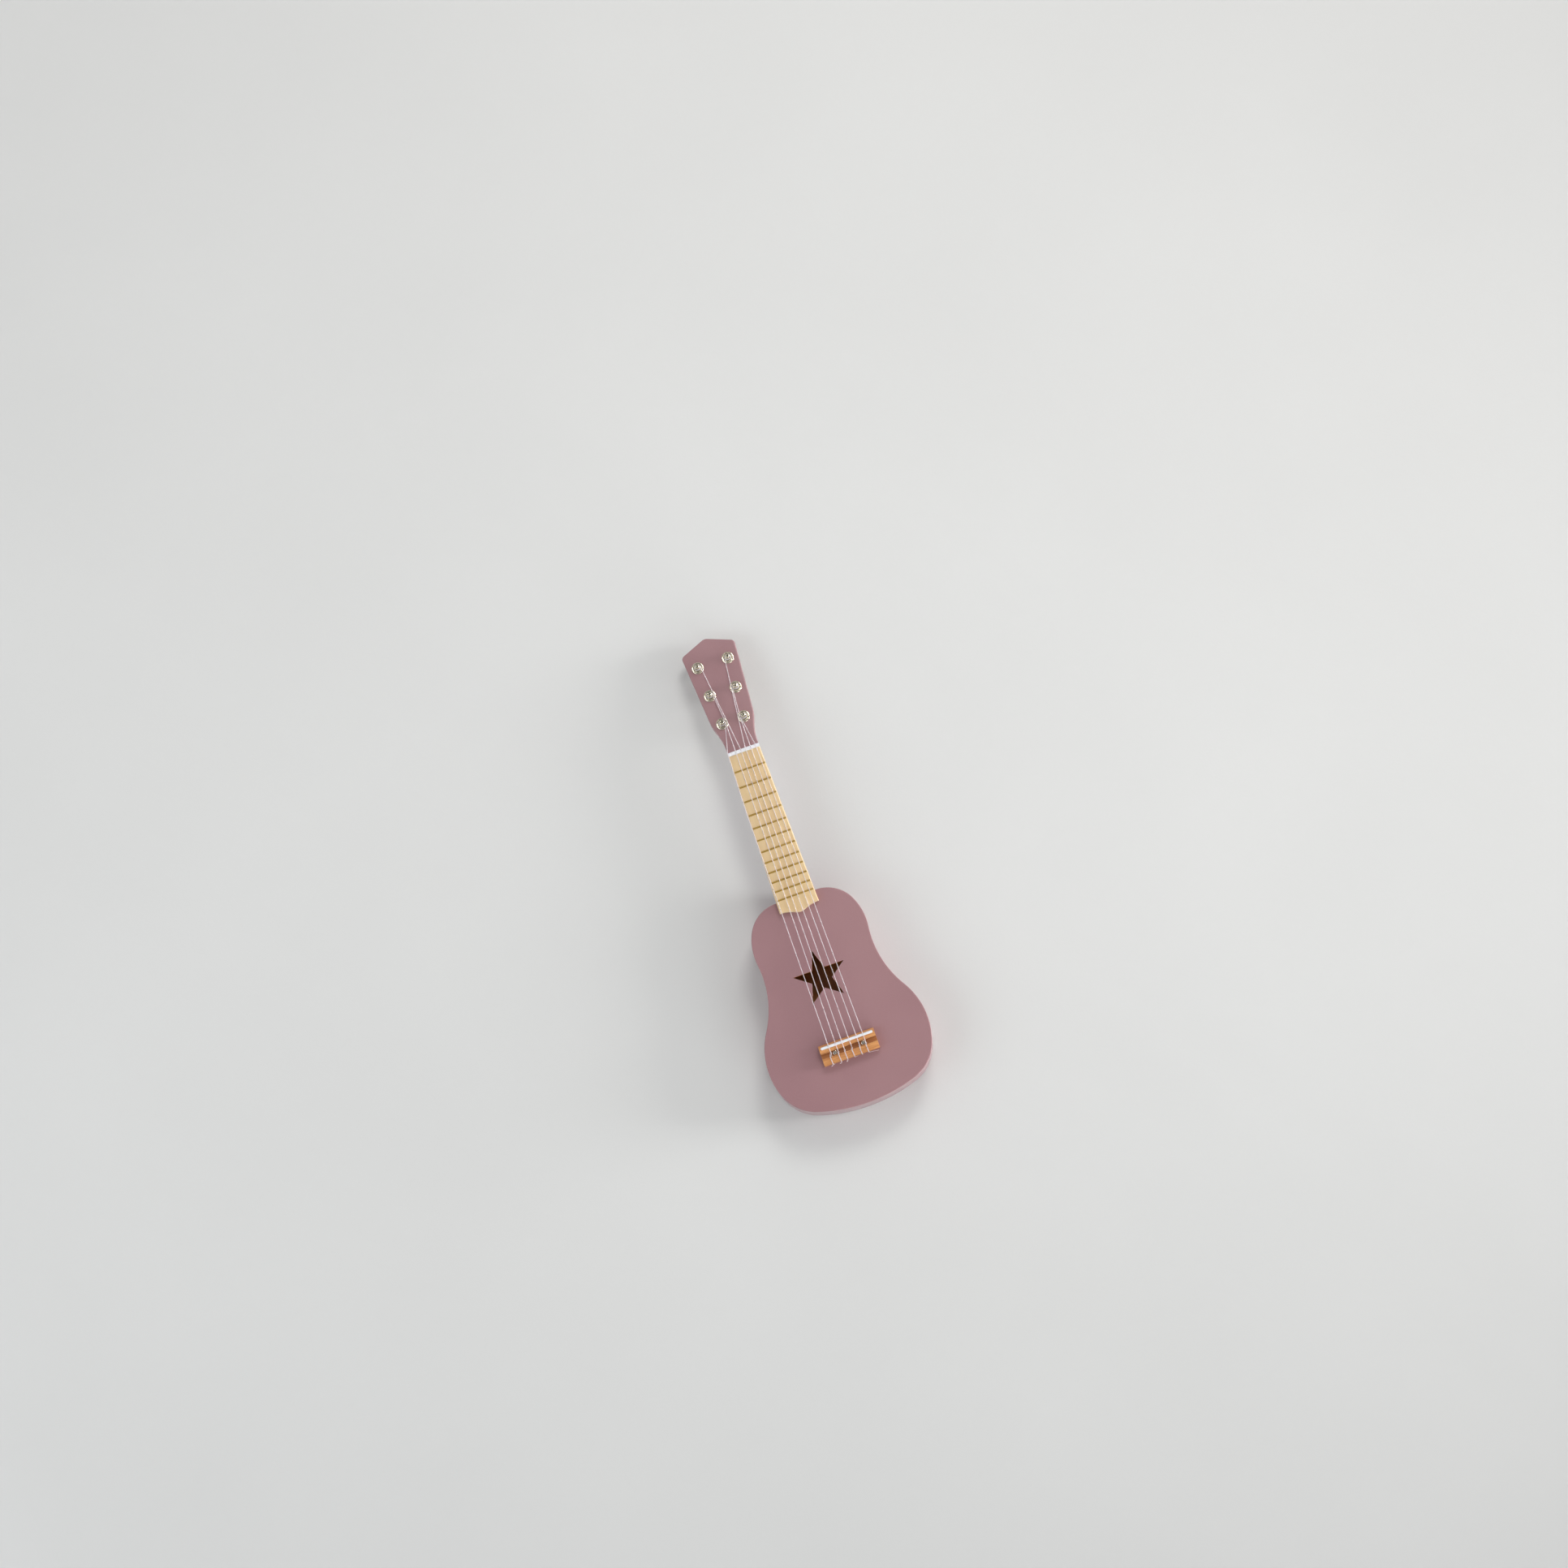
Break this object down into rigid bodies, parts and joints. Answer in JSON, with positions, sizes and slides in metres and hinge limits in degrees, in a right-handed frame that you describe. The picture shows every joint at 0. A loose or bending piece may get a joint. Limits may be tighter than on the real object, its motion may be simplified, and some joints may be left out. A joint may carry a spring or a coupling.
{
  "type": "toy guitar",
  "caption": "Small lilac wooden toy guitar with a star-shaped sound hole, pale fretboard, tie bridge, nylon strings and turning pegs at the back of its headstock.",
  "frame": {"origin": "middle of the overall length and width, on the back plate's outer face (the guitar lies on its back)", "axes": "+Z out of the soundboard, +Y along the neck from the tail to the headstock's tip, +X to the right seen from the front"},
  "size_m": [0.1788, 0.5369, 0.0529],
  "materials": {
    "lilac_paint": "satin lilac paint on wood",
    "raw_wood": "unpainted softwood and plywood",
    "pale_maple": "clear satin lacquer on pale maple",
    "bridge_wood": "clear satin lacquer on orange-brown wood",
    "fret_brass": "dull olive-gold wire",
    "white_plastic": "cool white gloss",
    "button_plastic": "warm white gloss",
    "nylon": "translucent white monofilament",
    "nickel": "polished nickel plate",
    "steel": "bright zinc-plated steel"
  },
  "bodies": {
    "guitar": {"back_plate": "lilac_paint", "braces": "raw_wood", "bridge": "bridge_wood", "bridge_bolts": "steel", "bridge_nuts": "steel", "bridge_plate": "raw_wood", "fingerboard": "pale_maple", "fret_01": "fret_brass", "fret_02": "fret_brass", "fret_03": "fret_brass", "fret_04": "fret_brass", "fret_05": "fret_brass", "fret_06": "fret_brass", "fret_07": "fret_brass", "fret_08": "fret_brass", "fret_09": "fret_brass", "fret_10": "fret_brass", "fret_11": "fret_brass", "fret_12": "fret_brass", "linings": "raw_wood", "neck": "lilac_paint", "neck_block": "raw_wood", "neck_screws": "steel", "nut": "white_plastic", "peg_bushings": "nickel", "peg_washers": "nickel", "rim": "lilac_paint", "saddle": "white_plastic", "soundboard": "lilac_paint", "string_1": "nylon", "string_2": "nylon", "string_3": "nylon", "string_4": "nylon", "string_5": "nylon", "string_6": "nylon", "tail_block": "raw_wood"},
    "tuner_1": {"peg_1_shaft": "nickel", "peg_1_button": "button_plastic", "peg_1_screw": "steel", "string_1_winding": "nylon"},
    "tuner_2": {"peg_2_shaft": "nickel", "peg_2_button": "button_plastic", "peg_2_screw": "steel", "string_2_winding": "nylon"},
    "tuner_3": {"peg_3_shaft": "nickel", "peg_3_button": "button_plastic", "peg_3_screw": "steel", "string_3_winding": "nylon"},
    "tuner_4": {"peg_4_shaft": "nickel", "peg_4_button": "button_plastic", "peg_4_screw": "steel", "string_4_winding": "nylon"},
    "tuner_5": {"peg_5_shaft": "nickel", "peg_5_button": "button_plastic", "peg_5_screw": "steel", "string_5_winding": "nylon"},
    "tuner_6": {"peg_6_shaft": "nickel", "peg_6_button": "button_plastic", "peg_6_screw": "steel", "string_6_winding": "nylon"}
  },
  "joints": [
    {"name": "tuner_1_turn", "type": "hinge", "parent": "guitar", "child": "tuner_1", "pos_m": [-0.0122, 0.16925, 0.03682], "axis": [0, 0.1736, 0.9848], "continuous": true},
    {"name": "tuner_2_turn", "type": "hinge", "parent": "guitar", "child": "tuner_2", "pos_m": [-0.01475, 0.20401, 0.03069], "axis": [0, 0.1736, 0.9848], "continuous": true},
    {"name": "tuner_3_turn", "type": "hinge", "parent": "guitar", "child": "tuner_3", "pos_m": [-0.0173, 0.23877, 0.02456], "axis": [0, 0.1736, 0.9848], "continuous": true},
    {"name": "tuner_4_turn", "type": "hinge", "parent": "guitar", "child": "tuner_4", "pos_m": [0.0173, 0.23877, 0.02456], "axis": [0, 0.1736, 0.9848], "continuous": true},
    {"name": "tuner_5_turn", "type": "hinge", "parent": "guitar", "child": "tuner_5", "pos_m": [0.01475, 0.20401, 0.03069], "axis": [0, 0.1736, 0.9848], "continuous": true},
    {"name": "tuner_6_turn", "type": "hinge", "parent": "guitar", "child": "tuner_6", "pos_m": [0.0122, 0.16925, 0.03682], "axis": [0, 0.1736, 0.9848], "continuous": true}
  ]
}
